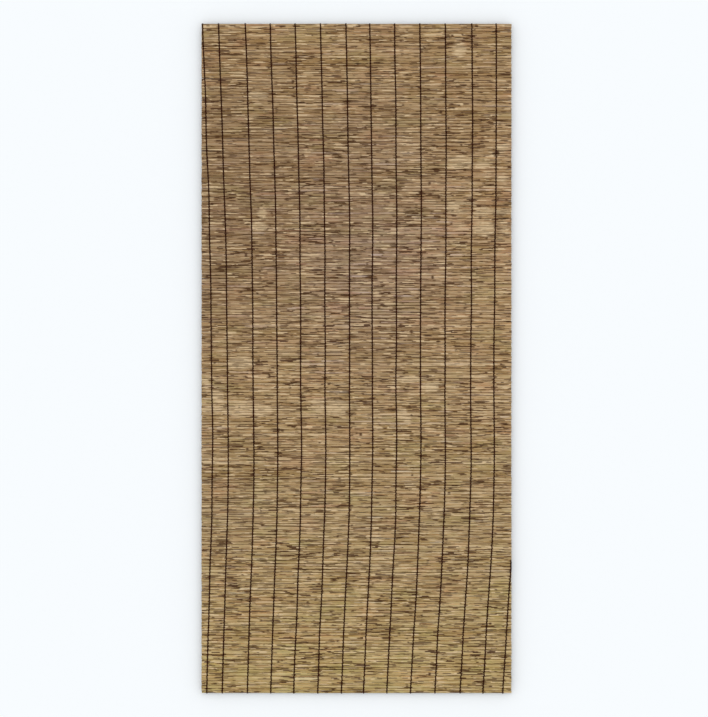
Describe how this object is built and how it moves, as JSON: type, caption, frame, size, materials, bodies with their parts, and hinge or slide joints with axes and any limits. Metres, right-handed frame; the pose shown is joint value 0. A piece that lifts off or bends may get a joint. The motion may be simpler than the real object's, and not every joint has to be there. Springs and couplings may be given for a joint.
{
  "type": "reed roller blind",
  "caption": "Reed curtain of a roller blind: thin hollow reeds side by side, bound by courses of dark twine, lying flat with its plain reed ends open.",
  "frame": {"origin": "middle of the back, in the plane that the twine courses rest on", "axes": "+X along the reeds, towards the right edge seen from the face; +Y up the drop, towards the top reed; +Z out of the face"},
  "size_m": [0.6, 1.2978, 0.0078],
  "materials": {
    "reed": "satin, dry natural cane with darker sheath marks",
    "twine": "matt, twisted dark brown twine"
  },
  "bodies": {
    "root": {"reeds_01": "reed", "reeds_02": "reed", "reeds_03": "reed", "reeds_04": "reed", "reeds_05": "reed", "reeds_06": "reed", "reeds_07": "reed", "reeds_08": "reed", "reeds_09": "reed", "reeds_10": "reed", "reeds_11": "reed", "reeds_12": "reed", "reeds_13": "reed", "reeds_14": "reed", "reeds_15": "reed", "reeds_16": "reed", "reeds_17": "reed", "reeds_18": "reed", "twine_01": "twine", "twine_02": "twine", "twine_03": "twine", "twine_04": "twine", "twine_05": "twine", "twine_06": "twine", "twine_07": "twine", "twine_08": "twine", "twine_09": "twine", "twine_10": "twine", "twine_11": "twine", "twine_12": "twine", "twine_13": "twine", "twine_14": "twine"}
  },
  "joints": []
}
